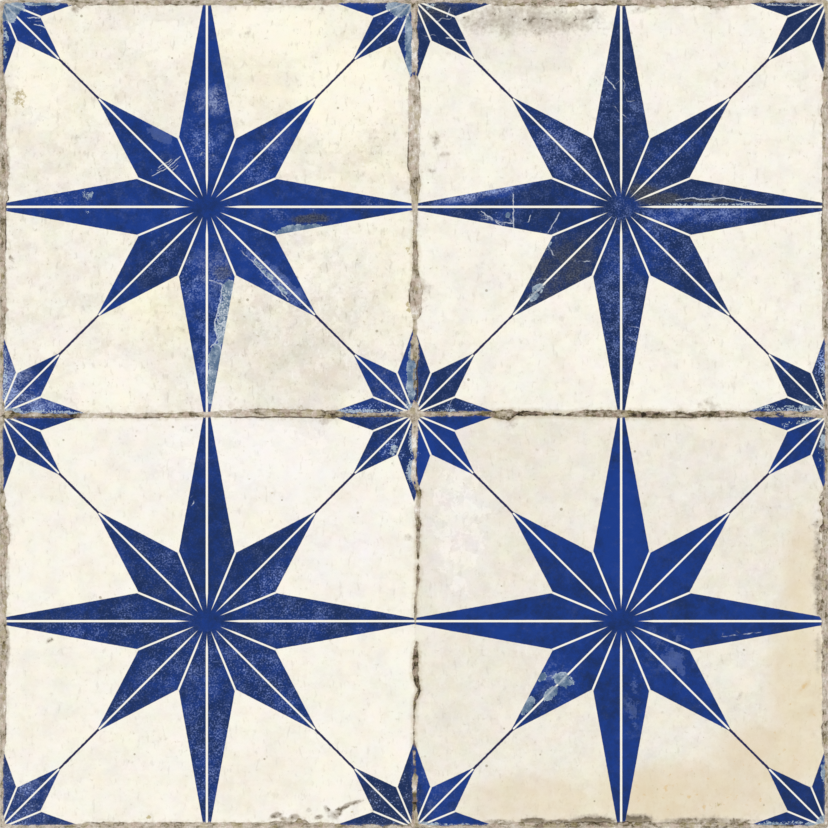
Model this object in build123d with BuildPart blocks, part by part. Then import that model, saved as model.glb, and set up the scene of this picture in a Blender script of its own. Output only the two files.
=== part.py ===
"""A square floor tile, pressed and fired as one piece.

Its face is pressed into four raised panels, set apart by a false joint that looks like a grout
line, with half a joint left all round the outside. Its back has a grid of shallow key pockets, so
that adhesive grips it. Millimetres, +Z up, the origin at the middle of the back.
"""

import os

from build123d import *

# The tile as a whole
tile_side = 450.0
tile_thickness = 10.0  # from the back's ribs to the panels' faces
tile_corner_radius = 1.5  # upright corners, in plan
back_arris = 0.8  # chamfer round the foot of the edges

# The pressed face
panels_per_side = 2
joint_width = 5.5  # across a false joint, from panel face to panel face
joint_depth = 1.0  # from the panels' faces down to the joint's floor
panel_draft = 25.0  # degrees, how far a panel's flank leans back from upright
panel_corner_radius = 2.5  # at a panel's face, in plan
panel_arris_radius = 0.7  # the worn edge round a panel's face

# The keyed back
key_cells_per_side = 12
key_border_width = 9.0  # plain band round the outside of the grid
key_rib_width = 5.0  # at the foot of the ribs, where the tile rests
key_depth = 0.7
key_draft = 45.0  # degrees, how far a pocket's flank leans back from upright

# Sizes that follow from those above
panel_pitch = tile_side / panels_per_side
panel_side = panel_pitch - joint_width
joint_floor_height = tile_thickness - joint_depth
key_cell_pitch = (tile_side - 2 * key_border_width + key_rib_width) / key_cells_per_side
key_pocket_side = key_cell_pitch - key_rib_width
arris_radius = min(panel_arris_radius, 0.9 * joint_depth)  # an arris stays within its flank

with BuildPart() as tile:
    # The plain slab, up to the floor of the false joint
    with BuildSketch() as slab_outline:
        RectangleRounded(tile_side, tile_side, tile_corner_radius)
    extrude(amount=joint_floor_height)
    slab_foot = tile.faces().sort_by(Axis.Z)[0].edges()
    chamfer(slab_foot, back_arris)

    # The panels rise from that floor: each is drawn at its face and widens on the way down
    with BuildSketch(Plane.XY.offset(tile_thickness)) as panel_faces:
        with GridLocations(panel_pitch, panel_pitch, panels_per_side, panels_per_side):
            RectangleRounded(panel_side, panel_side, panel_corner_radius)
    extrude(amount=-joint_depth, taper=-panel_draft)
    panel_rims = tile.faces().filter_by(Plane.XY).group_by(Axis.Z)[-1].edges()
    fillet(panel_rims, arris_radius)

    # The key pockets narrow from the back up into the body
    with BuildSketch() as key_pockets:
        with GridLocations(key_cell_pitch, key_cell_pitch, key_cells_per_side, key_cells_per_side):
            Rectangle(key_pocket_side, key_pocket_side)
    extrude(amount=key_depth, taper=key_draft, mode=Mode.SUBTRACT)

tile.part.label = "tile"
os.makedirs("parts", exist_ok=True)
export_step(tile.part, "parts/tile.step")
print("tile volume in cubic centimetres:", round(tile.part.volume / 1000.0, 1))
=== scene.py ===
# %% [markdown]
# # A worn floor tile with blue stars
#
# The tile is one pressed and fired piece, 450 mm square and 10 mm thick. Its face is pressed into
# four raised panels with a false joint between them, and half a joint runs all round the outside.
# Each panel carries a blue compass star on a cream ground, and years of feet have worn the print.
#
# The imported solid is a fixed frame. It gives the sizes, and nothing here moves or changes it.

# %% Load the frame
import math

import bmesh
import bpy
import numpy as np
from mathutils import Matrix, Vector, noise


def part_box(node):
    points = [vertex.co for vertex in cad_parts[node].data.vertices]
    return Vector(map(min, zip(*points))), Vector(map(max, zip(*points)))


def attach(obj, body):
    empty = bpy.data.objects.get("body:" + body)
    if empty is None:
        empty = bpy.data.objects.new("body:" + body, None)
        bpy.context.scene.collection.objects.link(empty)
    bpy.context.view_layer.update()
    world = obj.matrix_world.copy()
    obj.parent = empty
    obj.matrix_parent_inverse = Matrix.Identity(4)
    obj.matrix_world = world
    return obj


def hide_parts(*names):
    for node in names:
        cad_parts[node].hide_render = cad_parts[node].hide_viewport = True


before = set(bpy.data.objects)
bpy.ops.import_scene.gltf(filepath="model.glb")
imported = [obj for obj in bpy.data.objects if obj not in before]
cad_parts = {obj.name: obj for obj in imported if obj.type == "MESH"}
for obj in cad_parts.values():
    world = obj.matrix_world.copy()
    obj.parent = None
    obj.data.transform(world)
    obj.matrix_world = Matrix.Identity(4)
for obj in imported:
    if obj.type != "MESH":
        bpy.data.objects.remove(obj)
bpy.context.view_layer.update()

METRES = 0.001  # one millimetre, in the metres that Blender counts in
tile_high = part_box("tile")[1]
half_side = tile_high.x / METRES
face_height = tile_high.z / METRES
panel_pitch = half_side
star_centre = panel_pitch / 2
print("half a side:", round(half_side, 3), "mm, face height:", round(face_height, 3), "mm")

# %% [markdown]
# ## The slab
#
# The face of the real tile is nearly flat, and all its shape is along the joints: a ragged little
# valley about 5 mm wide and 1 mm deep. One even mesh that is fine enough for that valley would have
# far too many faces. So the face starts as a coarse grid, and only the cells along the joints, along
# the outer edge and in places with sharp wear are cut again.

# %% Lay out the face
coarse_cell = 3.0
cells_across = round(2 * half_side / coarse_cell)
fine_cuts = 3
joint_zone = 6.0  # each side of a joint's middle
edge_zone = 6.0  # in from the outer edge
slack = 0.01
worn_zones = [  # left, foot, right and top of the places with sharp wear
    (-198, 105, -168, 126), (-126, 12, -93, 84), (-78, 96, -45, 117), (-96, 54, -54, 93),
    (-150, 126, -120, 162), (114, 105, 195, 126), (57, 57, 96, 96), (36, 102, 84, 126),
    (54, -168, 90, -132), (-84, -219, -18, -201), (-219, 192, -192, 219), (-24, 192, -6, 219),
    (6, 192, 24, 219), (18, 198, 126, 219), (99, 171, 111, 186), (165, -123, 195, -114),
]

bm = bmesh.new()
bmesh.ops.create_grid(
    bm, x_segments=cells_across, y_segments=cells_across, size=half_side * METRES
)
bmesh.ops.translate(bm, verts=bm.verts, vec=(0, 0, face_height * METRES))


def in_fine_zone(edge, axis):
    """Whether an edge lies along the joint, or the outer edge, that this axis crosses."""
    reach = [abs(v.co[axis]) / METRES for v in edge.verts]
    return max(reach) < joint_zone + slack or min(reach) > half_side - edge_zone - slack


def in_worn_zone(edge):
    """Whether an edge lies in one of the places with sharp wear."""
    ends = [v.co / METRES for v in edge.verts]
    return any(
        all(left - slack < p.x < right + slack and foot - slack < p.y < top + slack for p in ends)
        for left, foot, right, top in worn_zones
    )


fine_edges = [e for e in bm.edges if in_fine_zone(e, 0) or in_fine_zone(e, 1) or in_worn_zone(e)]
bmesh.ops.subdivide_edges(bm, edges=fine_edges, cuts=fine_cuts, use_grid_fill=True)
face_verts = list(bm.verts)
print("face:", len(face_verts), "points,", len(bm.faces), "faces")

# %% [markdown]
# ## The sides
#
# A press leaves the sides upright, with a small chamfer round the foot. Extruding the rim of the
# face downwards in steps keeps every seam closed, because each row starts from the points of the
# row above.

# %% Extrude the rim down to the foot
foot_chamfer = 0.8
corner_radius = 1.5
side_rows = [(5.5, 0.0), (foot_chamfer, 0.0), (0.0, foot_chamfer)]  # height, and how far in
rim = [e for e in bm.edges if e.is_boundary]
sides = []
row_edges = rim
for height, inset in side_rows:
    grown = bmesh.ops.extrude_edge_only(bm, edges=row_edges)["geom"]
    row_verts = [g for g in grown if isinstance(g, bmesh.types.BMVert)]
    row_edges = [e for e in grown if isinstance(e, bmesh.types.BMEdge) and e.is_boundary]
    sides += [g for g in grown if isinstance(g, bmesh.types.BMFace)]
    shrink = (half_side - inset) / half_side
    for v in row_verts:
        v.co = (v.co.x * shrink, v.co.y * shrink, height * METRES)
foot_edges = row_edges
print("sides:", len(sides), "faces, the foot has", len(foot_edges), "edges")

# %% Round the upright corners
corner_middle = (half_side - corner_radius) * METRES
for v in bm.verts:
    beyond = Vector((abs(v.co.x) - corner_middle, abs(v.co.y) - corner_middle))
    if beyond.x > 0 and beyond.y > 0 and beyond.length > corner_radius * METRES:
        beyond = beyond.normalized() * corner_radius * METRES
        v.co.x = math.copysign(corner_middle + beyond.x, v.co.x)
        v.co.y = math.copysign(corner_middle + beyond.y, v.co.y)
print("corners rounded to", corner_radius, "mm")

# %% [markdown]
# ## The keyed back
#
# The back rests in adhesive, so it is pressed into a grid of shallow pockets that the adhesive
# fills. A grid of twelve by twelve cells, inset once for the ribs and once more with depth for the
# slanting walls, makes them all at once. The plain border is then filled between the two loops that
# are still open: the foot and the rim of the grid. They are looked up after the insets, because an
# inset hands the grid's first edges on to the inner faces.

# %% Press the key pockets
key_cells = 12
key_border = 9.0
key_rib = 5.0
key_depth = 0.7
key_reach = half_side - key_border + key_rib / 2
key_grid = bmesh.ops.create_grid(
    bm, x_segments=key_cells, y_segments=key_cells, size=key_reach * METRES
)
key_verts = set(key_grid["verts"])
pockets = [f for f in bm.faces if all(v in key_verts for v in f.verts)]
bmesh.ops.reverse_faces(bm, faces=pockets)
back = set(pockets)
ribs = bmesh.ops.inset_individual(bm, faces=pockets, thickness=key_rib / 2 * METRES, depth=0)
back.update(ribs["faces"])
walls = bmesh.ops.inset_individual(
    bm, faces=pockets, thickness=key_depth * METRES, depth=-key_depth * METRES
)
back.update(walls["faces"])
open_rims = [e for e in bm.edges if e.is_boundary]  # the foot, and the rim of the pocket grid
border = bmesh.ops.triangle_fill(bm, edges=open_rims, use_beauty=True)
back.update(g for g in border["geom"] if isinstance(g, bmesh.types.BMFace))
bmesh.ops.recalc_face_normals(bm, faces=bm.faces)
open_edges = sum(not e.is_manifold for e in bm.edges)
print("back:", len(back), "faces, open edges on the whole tile:", open_edges)

# %% [markdown]
# ## The false joint
#
# On the real tile the joint isn't even: the upper half of the upright one is a wide band of pale
# mortar, its lower half is a thin dark crack with gaps in it, and the level one is crumbly. Stations
# along each joint say where its middle runs, how wide and deep it is, how dirty it is, how
# much of the print still covers it, and on which side a dark line runs. Values between two stations
# are read off in line.

# %% Stations along the upright joint, from the top down
# place, middle, half width and depth in millimetres, dirt and paint from 0 to about 1, and the dark
# line, partly dirt and partly painted shade along one edge of the groove: above 0 it runs on the right
# or upper side, below 0 on the other
# a half width below 0 closes the joint
upright_stations = [
    (225, 0.3, 2.4, 0.6, 0.5, 0, 0), (216, 0.3, 1.6, 0.5, 0.5, 0.1, 0),
    (206, 0.4, 1.4, 0.5, 0.45, 0.1, 0.3), (199, 0.4, 1.6, 0.4, 0.1, 0, 0),
    (194, 0.3, 1.5, 0.4, 0.15, 0, 0.3), (184, 0.4, 1.4, 0.5, 0.55, 0.2, 0),
    (180, -0.2, 3, 0.5, 0.3, 0, 0.8), (171, 0.2, 3.4, 0.4, 0.22, 0, 0.4),
    (157, 0.3, 3.4, 0.4, 0.2, 0, -0.2), (150, 0.3, 3.4, 0.4, 0.18, 0, -0.5),
    (140, -0.4, 3.2, 0.5, 0.35, 0, -0.9), (134, -0.2, 3.2, 0.5, 0.35, 0, -0.7),
    (128, 0.6, 2.6, 0.6, 0.55, 0, 0), (122, 0.6, 3, 0.6, 0.6, 0, 0), (116, 0.4, 2, 0.5, 0.35, 0, 0),
    (108, 0.6, 1.3, 0.5, 0.22, 0, 0.2), (98, 0.7, 1.2, 0.6, 0.45, 0, 0.3),
    (92, 0.8, 1.5, 0.8, 0.8, 0, 0), (80, 0.8, 1.5, 0.7, 0.72, 0, 0), (75, 0.8, 2, 0.6, 0.5, 0, 0),
    (67, 1.2, 4, 0.6, 0.45, 0, -0.5), (61, 0.8, 3.6, 0.6, 0.5, 0, -0.7),
    (57, 1.2, 2.8, 0.4, 0.3, 0, 0.3), (54, 1.2, 2.4, 0.3, 0.05, 0, 0.6),
    (51, 0.4, 1.2, 0.4, 0.28, 0, 0.2), (43, 0.4, 1.1, 0.4, 0.35, 0, 0),
    (39, 0.4, 2.2, 0.5, 0.4, 0, 0.3), (30, 0.4, 2.2, 0.5, 0.42, 0, 0.5),
    (28, 0.8, 1.2, 0.6, 0.88, 0.35, 0.8), (8, 0.8, 1.1, 0.6, 0.88, 0.35, 0.8),
    (5.5, 0.6, 1.4, 0.6, 0.38, 0.1, 0), (0, 0, 2.8, 0.6, 0.45, 0, 0),
    (-6, 0.4, 1.4, 0.5, 0.4, 0.1, 0), (-13, 0.2, 1.6, 0.4, 0, 0, 0.5),
    (-19, 0.2, 1.4, 0.4, 0.05, 0, 0.6), (-23, 0.8, 0.8, 0.5, 0.6, 0.3, 0),
    (-27, 0.2, 1.4, 0.4, 0, 0, 0.5), (-34, 0, 1.8, 0.4, 0, 0, 0.6), (-38, 0.8, 1, 0.5, 0.6, 0.3, 0),
    (-42, 2.6, 1.6, 0.6, 0.78, 0, 0), (-47, 2.6, 1, 0.5, 0.55, 0, 0),
    (-52, 1.6, 1.8, 0.3, 0.05, 0, 0.2), (-57, 2, 1.3, 0.6, 0.7, 0, 0),
    (-60, 2.4, 1.5, 0.8, 0.85, 0, 0.6), (-64, 2.2, 0.9, 0.7, 0.75, 0, 0),
    (-71, 2.1, 0.9, 0.8, 0.86, 0, 0), (-78, 2.1, 0.6, 0.7, 0.75, 0, 0),
    (-80, 2, -0.4, 0.1, 0.3, 0, 0), (-83, 2.2, 0.8, 0.7, 0.8, 0, 0), (-90, 2, 1, 0.7, 0.84, 0, 0),
    (-95, 1.6, 0.4, 0.5, 0.5, 0, 0), (-101, 1, 0.9, 0.5, 0.68, 0, 0),
    (-108, 0.8, 1, 0.5, 0.68, 0, 0), (-113, 0.6, 0.4, 0.3, 0.4, 0, 0),
    (-116, 0.6, -0.8, 0, 0.3, 0, 0), (-121, 0.8, -0.8, 0, 0.3, 0, 0),
    (-124, 1.4, 0.8, 0.6, 0.7, 0, 0), (-131, 0.9, 1.6, 0.8, 0.76, 0, 0),
    (-141, 0.7, 1.7, 0.8, 0.78, 0, 0), (-146, 1.6, 1.6, 0.8, 0.82, 0, 0),
    (-150, 3.2, 1.1, 0.8, 0.85, 0, 0), (-153, 1.6, 1, 0.8, 0.85, 0, 0),
    (-156, 0.3, 0.8, 0.7, 0.9, 0, 0), (-160, 0.1, 0.5, 0.6, 0.8, 0, 0),
    (-178, 0.1, 0.5, 0.5, 0.75, 0, 0), (-182, 0.2, 0.8, 0.5, 0.9, 0.3, 0),
    (-184, 0.3, 1, 0.4, 0.42, 0, 0), (-187, 0.3, 0.6, 0.5, 0.8, 0.2, 0),
    (-195, 0.3, 0.6, 0.5, 0.8, 0.2, 0), (-197, 0.3, 1.2, 0.4, 0.48, 0, 0),
    (-202, 0.3, 1.2, 0.4, 0.42, 0, 0), (-204, 0.3, 1.1, 0.4, 0.1, 0, 0.3),
    (-206.5, 0.3, 1.1, 0.6, 1.1, 0, 0), (-211.5, 0.3, 1.1, 0.6, 1.1, 0, 0),
    (-214, 0.4, 1.2, 0.5, 0.66, 0, 0), (-217, 0.5, 1.3, 0.5, 0.58, 0, 0),
    (-225, 0.5, 2.4, 0.6, 0.5, 0, 0),
]
print("upright joint:", len(upright_stations), "stations")

# %% Stations along the level joint, from the left
level_stations = [
    (-225, -0.8, 1.6, 0.6, 0.6, 0, 0), (-219, -0.6, 2.2, 0.7, 0.85, 0, 0),
    (-212, -0.8, 1.2, 0.6, 0.8, 0.2, -0.6), (-206, -0.6, 1.5, 0.6, 0.45, 0.1, -0.6),
    (-198, -0.9, 1.1, 0.6, 0.85, 0.1, -0.8), (-182, -0.9, 1.1, 0.6, 0.8, 0.1, -0.6),
    (-177, -0.8, 1.4, 0.4, 0.3, 0, 0), (-160, -0.9, 1.4, 0.5, 0.35, 0, -0.3),
    (-143, -0.9, 1.4, 0.6, 0.5, 0, -0.6), (-127, -0.6, 1.4, 0.6, 0.5, 0, -0.3),
    (-112, -0.4, 1.5, 0.5, 0.45, 0, 0.3), (-103, 0.2, 2.1, 0.5, 0.22, 0, -0.5),
    (-95, 0.3, 2.3, 0.6, 0.28, 0, -0.8), (-81, 0.6, 2.6, 0.7, 0.5, 0, -0.9),
    (-67, 0.4, 2.4, 0.7, 0.48, 0, -0.9), (-60, 0.2, 2.2, 0.8, 0.42, 0, -1),
    (-50, 0, 2.2, 0.8, 0.6, 0, -0.6), (-44, -0.4, 2.4, 0.7, 0.65, 0, 0),
    (-38, -0.3, 1.2, 0.6, 0.6, 0.2, 0), (-22, -0.3, 1.2, 0.6, 0.45, 0.2, -0.8),
    (-9, -0.2, 1.2, 0.6, 0.55, 0.2, -0.8), (-4, 0, 2, 0.6, 0.35, 0, 0),
    (0, 0, 2.8, 0.6, 0.35, 0, 0), (6, 0, 1.4, 0.6, 0.45, 0.1, 0),
    (14, 0.1, 1.2, 0.7, 0.6, 0.2, 0.5), (28, 0.2, 1.2, 0.6, 0.5, 0.2, -0.5),
    (41, 0, 1.3, 0.7, 0.86, 0.1, 0), (46, -0.4, 2.4, 0.8, 0.84, 0, 0),
    (52, -0.8, 3, 0.7, 0.78, 0, 0), (55, 0.2, 1.3, 0.9, 1, 0, 0), (66, 0.3, 1.2, 0.9, 1, 0, 0),
    (77, -0.2, 0.8, 0.9, 1, 0, 0), (83, -0.4, 0.8, 0.7, 0.96, 0, 0),
    (88, -0.2, 1.3, 0.6, 0.74, 0, 0), (93, 0.2, 2, 0.6, 0.58, 0, 0.4),
    (112, 0, 2, 0.6, 0.61, 0, 0.4), (121, -0.2, 1.9, 0.6, 0.76, 0, 0),
    (126, -0.4, 1.7, 0.7, 1, 0, 0), (132, -0.5, 1.8, 0.7, 0.91, 0, 0),
    (136, -0.3, 1.8, 0.6, 0.58, 0, -0.3), (148, -0.5, 1.6, 0.7, 0.76, 0, -0.8),
    (156, -0.2, 1.8, 0.6, 0.64, 0, -0.3), (170, -0.2, 1.8, 0.6, 0.66, 0, -0.4),
    (184, -0.2, 1.6, 0.6, 0.61, 0, 0.3), (199, -0.1, 1.5, 0.6, 0.61, 0.2, 0),
    (213, 0, 1.5, 0.6, 0.5, 0.2, 0.3), (221, 0, 2.4, 0.6, 0.5, 0, 0), (225, 0, 2.6, 0.6, 0.5, 0, 0),
]
print("level joint:", len(level_stations), "stations")

# %% Stations round the outside
# the half joint there narrows where a small star crosses it
star_fold = [0, 66, 74, 104, 112.5]  # distance from the middle of a panel, along the edge
band_fold = [1.0, 1.0, 0.55, 0.5, 0.9]  # share of the band's width there
band_width = {"left": 3.4, "right": 3.3, "top": 3.0, "bottom": 3.2}
band_depth = 0.9
band_dirt = 0.42
# place along the side and length, and how much wider and dirtier the band is there
band_swellings = {
    "left": [
        (131, 44, 1.6, -0.06), (59, 10, 1.2, 0), (-66, 34, 1.6, 0), (-95, 30, 0.8, -0.02),
        (-123, 28, 0.9, 0.12), (172, 26, 0.4, 0.04),
    ],
    "right": [
        (180, 60, 0.4, 0), (95, 40, 0.8, 0), (-52, 30, 1.8, 0.24), (-61, 8, 2.6, 0.18),
        (-79, 16, 2.6, 0.16), (-100, 26, 3.2, 0.1), (-128, 34, 1, -0.04), (-152, 40, 0, -0.12),
    ],
    "top": [
        (-184, 10, 2.4, 0.08), (60, 90, 0.6, 0.02), (148, 60, 0.8, 0.04), (165, 12, 2, 0.06),
    ],
    "bottom": [
        (-70, 20, 1, 0.1), (-61, 9, 1.2, 0.1), (82, 66, 0.3, 0.18), (122, 22, 0.6, 0.22),
        (165, 60, 0.3, 0.1),
    ],
}
print("swellings of the outer band:", sum(len(rows) for rows in band_swellings.values()))

# %% Helpers that read the stations


def smooth(low, high, value):
    """Rises from 0 at low to 1 at high, with soft ends. Low may be above high."""
    share = np.clip((value - low) / (high - low), 0.0, 1.0)
    return share * share * (3.0 - 2.0 * share)


def lumps_at(points, size, seed, octaves=3):
    """Noise from about -1 to 1 at each point, with lumps of the given size."""
    return np.array(
        [noise.fractal(Vector((x / size, y / size, seed)), 0.8, 2.0, octaves) for x, y in points]
    )


def station_values(stations, place):
    """The middle, half width, depth, dirt, paint and dark line of a joint at each place along it."""
    columns = np.array(sorted(stations)).T
    return [np.interp(place, columns[0], column) for column in columns[1:]]


middle_width = station_values(upright_stations, 0.0)[1]
print("half width of the upright joint at the crossing:", float(middle_width), "mm")

# %% Set every point of the face against each joint
spots = np.array([(v.co.x / METRES, v.co.y / METRES) for v in face_verts])
across, up = spots.T
lumps = lumps_at(spots, 7.0, 3.1)
crumbs = lumps_at(spots, 2.2, 8.4)
swell = lumps_at(spots, 60.0, 5.7, 2)
ragged = 0.34 * lumps + 0.30 * crumbs  # how far the joint's edges stray
wander = 0.3 * lumps  # how far its middle strays

layers = []
for place, off, stations in ((up, across, upright_stations), (across, up, level_stations)):
    middle, half_width, depth, dirt, paint, line = station_values(stations, place)
    edge = np.abs(off - middle - wander) - half_width - ragged
    line_gap = off - middle - wander - np.sign(line) * (half_width - 0.2)
    layers.append((edge, depth, dirt, paint, line_gap, np.abs(line)))
for side, along, off in (
    ("left", up, half_side + across),
    ("right", up, half_side - across),
    ("top", across, half_side - up),
    ("bottom", across, half_side + up),
):
    share = np.interp(np.abs(np.abs(along) - star_centre), star_fold, band_fold)
    width = band_width[side] * share
    level = np.ones(len(spots))
    dirtiest = level * 0.0
    for place, length, wider, dirtier in band_swellings[side]:
        swelling = smooth(length / 2, length / 4, np.abs(along - place))
        width = width + wider * swelling * np.clip(0.6 + 0.9 * lumps + 0.5 * crumbs, 0.0, 1.3)
        dirtiest = dirtiest + dirtier * swelling
    edge = off - width - ragged
    # a dark line along the band's inner edge: partly dirt, partly painted shade under that edge
    line = 0.8 * smooth(-0.1, 0.6, lumps_at(np.column_stack((along, off)) * (0.25, 0.0), 7.0, 1.7))
    line = np.maximum(line, 2.4 * dirtiest)
    side_dirt = band_dirt + dirtiest * (0.4 + 0.8 * smooth(-3.5, -0.8, edge))
    layers.append((edge, level * band_depth, side_dirt, level * 0.0, edge + 0.2, line))
print("joints and bands that a point is set against:", len(layers))

# %% Carve the joints into the face
far_away = 50.0
swell_height = 0.06  # how far the panels' faces rise and fall
deepest_cut = 1.4
edge_gap = np.full(len(spots), far_away)
line_gap = np.full(len(spots), far_away)
carved, dirt, paint, line = np.zeros((4, len(spots)))
for layer_edge, depth, layer_dirt, layer_paint, layer_gap, layer_line in layers:
    nearer = layer_edge < edge_gap
    dirt = np.where(nearer, layer_dirt, dirt)
    paint = np.where(nearer, layer_paint, paint)
    line = np.where(nearer, layer_line, line)
    line_gap = np.where(nearer, layer_gap, line_gap)
    edge_gap = np.minimum(edge_gap, layer_edge)
    carved = np.maximum(carved, smooth(0.4, -0.7, layer_edge) * depth * (1.0 + 0.35 * crumbs))
carved = np.clip(carved + swell_height * (0.5 + 0.5 * swell), 0.0, deepest_cut)
for v, drop in zip(face_verts, carved):
    v.co.z -= drop * METRES
upright_run = np.minimum(np.abs(across), half_side - np.abs(across))
level_run = np.minimum(np.abs(up), half_side - np.abs(up))
upright = np.where(upright_run < level_run, 1.0, 0.0)
face_values = {
    "edge_gap": edge_gap,
    "dirt": dirt,
    "paint": paint,
    "line_gap": line_gap,
    "line": line,
    "upright": upright,
}
print("deepest point of the joint:", round(float(carved.max()), 2), "mm under the face")

# %% [markdown]
# ## Where the print is worn
#
# Feet, grit and mortar have not worn the four panels alike. Each kind of wear is made of soft ovals,
# listed one by one: where each lies, how long and wide it is, how it is turned, and how strong. They
# are stored on the points of the mesh as attributes, and the material breaks them up with fine noise.
# This keeps the material small, and the wear stays where the real tile has it.

# %% Lay the ovals of wear on the blue
# x, y, length and width in millimetres, turn in degrees, and strength, mostly from 0 to 1
wear = {}
# fine pale grain, where grit has frosted the blue
wear["frosted"] = [
    (-107, 171, 14, 12, 90, 0.6), (-74, 109, 12, 6, -20, 0.8), (-114, 145, 28, 22, 90, 0.75),
    (-83, 136, 32, 20, 45, 0.75), (-122, 71, 26, 18, 90, 0.85), (-105, 75, 14, 14, 0, 0.8),
    (-112, 40, 70, 16, 90, 0.6), (-75, 73, 56, 9, -45, 0.85), (-23, 115, 16, 6, 0, 0.6),
    (-138, 83, 30, 16, 45, 0.5), (-190, 116, 44, 10, 0, 0.35), (80, 144, 46, 28, -45, 1),
    (105, 161, 34, 12, 90, 0.5), (118, 171, 40, 12, 90, 0.55), (37, 120.5, 58, 6, 12, 1),
    (58, 108, 48, 14, 0, 0.3), (150, 108, 70, 14, 0, 0.7), (164, 108, 28, 12, 0, 1),
    (112, 110, 13, 13, 0, 0.8), (112, 51, 92, 32, 90, 0.8), (121, 50, 30, 11, 80, 1),
    (140, 88, 46, 22, -45, 0.75), (137, 138, 44, 24, 45, 0.55), (-139, -79, 34, 20, -45, 0.6),
    (-79, -93, 34, 16, 45, 1), (-167, -117, 76, 13, 0, 0.85), (-154, -107, 34, 10, 0, 0.6),
    (-64, -112, 56, 26, 0, 0.75), (-112, -180, 76, 34, 90, 0.85), (-112, -139, 48, 30, 90, 0.65),
    (-83, -142, 58, 28, -45, 0.9), (-135, -136, 48, 26, 45, 0.65), (-157, -156, 26, 10, 45, 0.8),
    (-66, -158, 30, 10, -45, 0.8), (75, -150, 34, 24, 45, 0.3), (-4, 205, 34, 24, 90, 0.4),
    (221, 22, 32, 8, 90, 1.2),
]
# sparse bright flecks
wear["flecked"] = [
    (-106, 171, 12, 10, 90, 0.55), (-114, 145, 24, 20, 90, 0.55), (-122, 71, 22, 16, 90, 0.6),
    (-103, 57, 36, 10, 82, 1.2), (-109, 22, 36, 8, 86, 0.8), (-75, 73, 56, 8, -45, 0.65),
    (-180, 117, 44, 8, 5, 0.4), (121, 50, 26, 9, 80, 0.7), (39, 120.5, 50, 5, 12, 1),
    (66, 99, 22, 3, -8, 0.8), (164, 108, 24, 10, 0, 0.35), (104, 170, 20, 8, 80, 0.6),
    (-5, 5, 28, 24, 0, 0.8), (-8, -21, 28, 26, 0, 0.8), (-21, 3, 48, 8, 0, 0.9),
    (20, 4, 38, 7, 0, 0.7), (-218, 10, 34, 32, 0, 0.9), (-205, 3, 50, 7, 0, 0.9),
    (216, 8, 38, 34, 0, 0.5), (221, 22, 32, 8, 90, 1.3), (-217, -212, 46, 42, 0, 0.75),
    (-13, -210, 46, 42, 0, 0.75), (-10, 206, 40, 30, 90, 0.55), (-205, 212, 40, 26, 0, 0.55),
    (-56, 111, 30, 12, 0, 0.45), (-23, 115, 16, 6, 0, 0.6),
]
# the print is worn through to a pale grey blue
wear["chipped"] = [
    (-177, 120, 10, 9, 90, 0.56), (-193, 118, 10, 4, 5, 0.52), (-178, 110, 5, 4, 0, 0.52),
    (-100.5, 67, 13, 9, 80, 1), (-102.5, 57, 14, 9, 80, 1.05), (-104, 48, 13, 9.5, 80, 1.05),
    (-104.5, 41, 8, 5, 80, 0.9), (-108, 30, 18, 9, 84, 1), (-109.6, 16, 24, 6.5, 86, 1),
    (-63, 100, 31, 7, 7, 1), (-82, 78.5, 20, 3.5, -45, 0.7), (-70.5, 66.5, 12, 3, -45, 0.64),
    (51, 108, 4, 4, 0, 0.8), (66, 66, 16, 8, 45, 0.62), (73, 91, 9, 3, 60, 0.6),
    (120, 179, 8, 6, 0, 0.5), (81, -145, 14, 10, -20, 0.84), (75, -151.5, 13, 7, 45, 0.8),
    (62, -158, 14, 7, 58, 0.95), (69.6, -142.6, 7, 5, 60, 0.95), (180, -119, 26, 3, 5, 0.25),
    (-221, 221, 22, 19, 0, 1), (-222, 202, 24, 5, 90, 0.66), (-203, 223, 28, 3.5, 0, 0.7),
    (-7, 221, 17, 13, 0, 1), (-2.9, 202, 46, 5, 90, 0.88), (7, 222, 16, 8, 0, 0.38),
    (-1.4, 20, 38, 6, 90, 0.88), (-11, -20, 9, 6, 45, 0.7), (-3, 5, 10, 9, 0, 0.6),
    (-217, 2, 20, 4, 0, 0.7), (-217, 18, 9, 9, 0, 0.5), (213, 4, 34, 3, 0, 0.6),
    (221, 12, 14, 12, 90, 0.45), (214, -4, 22, 3, 10, 0.55), (222, -20, 26, 7, 80, 0.6),
    (196, -223, 22, 4, 0, 0.76), (216, -223, 12, 3, 0, 0.7), (223, -193, 18, 5, 90, 0.75),
    (222, -222, 10, 10, 0, 0.8), (205, 222, 36, 4, 8, 0.5), (8, -223, 30, 4, 0, 0.7),
]
# a crusty pale lip beside the joint, or beside a white line: partly worn glaze, and beside the joint
# partly a painted highlight on its edge
wear["lip_wear_and_highlight"] = [
    (-200, 1, 40, 2.4, 0, 0.8), (-172, 0.6, 36, 2, 0, 0.75), (-64, 2.6, 24, 2, 0, 0.75),
    (-36, 1.6, 60, 2.4, 0, 0.8), (-12, 1.4, 24, 3, 0, 0.75), (16, 2, 24, 2, 0, 0.5),
    (180, 2.4, 40, 3, 8, 0.75), (206, 2.2, 36, 3, 0, 0.75), (210, -3.2, 26, 2.5, 14, 0.55),
    (-1.6, -14, 16, 4, 90, 0.85), (-1.8, -31, 18, 5, 90, 0.95), (-222, 16, 40, 3, 90, 0.6),
    (222, 12, 40, 2.5, 90, 0.6), (200, -222, 40, 2, 0, 0.6), (16, -223, 34, 2, 0, 0.6),
    (205, 222.5, 40, 2, 0, 0.45), (158, 113.8, 66, 1.7, 0, 0.8),
]
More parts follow.
